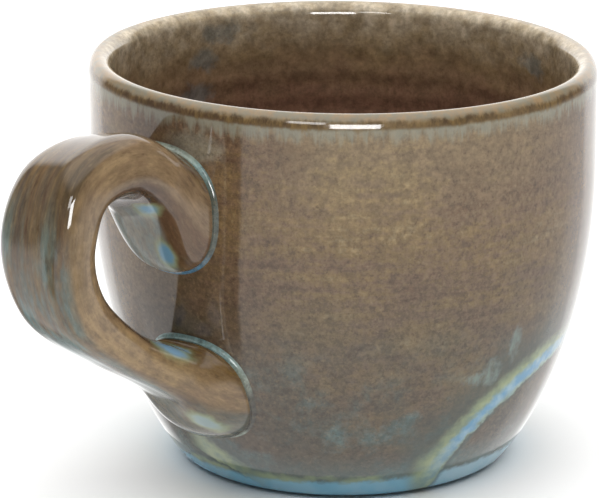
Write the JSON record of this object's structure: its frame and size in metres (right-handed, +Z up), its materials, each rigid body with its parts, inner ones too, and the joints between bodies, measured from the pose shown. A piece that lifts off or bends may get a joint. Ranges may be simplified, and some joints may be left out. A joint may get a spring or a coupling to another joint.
{
  "type": "espresso cup",
  "caption": "Hand-thrown stoneware espresso cup: upright wall on a rounded belly, an ear-shaped strap handle luted on at two pads, and a mottled brown and blue glaze.",
  "frame": {"origin": "centre of the foot's standing face, on the cup's axis", "axes": "+Z up along the cup's axis, +X along the handle"},
  "size_m": [0.088, 0.0654, 0.0532],
  "materials": {
    "bare_clay": "unglazed, matte, finely speckled",
    "outside_glaze": "gloss, mottled brown with blue and yellow-green runs",
    "liner_glaze": "gloss, dark brown",
    "pooled_glaze": "gloss, blue-grey where the glaze pools"
  },
  "bodies": {
    "root": {"bowl": "bare_clay", "foot": "bare_clay", "outside_glaze": "outside_glaze", "liner_glaze": "liner_glaze", "handle": "bare_clay", "handle_glaze": "outside_glaze", "upper_slip_joint": "pooled_glaze", "lower_slip_joint": "pooled_glaze"}
  },
  "joints": []
}
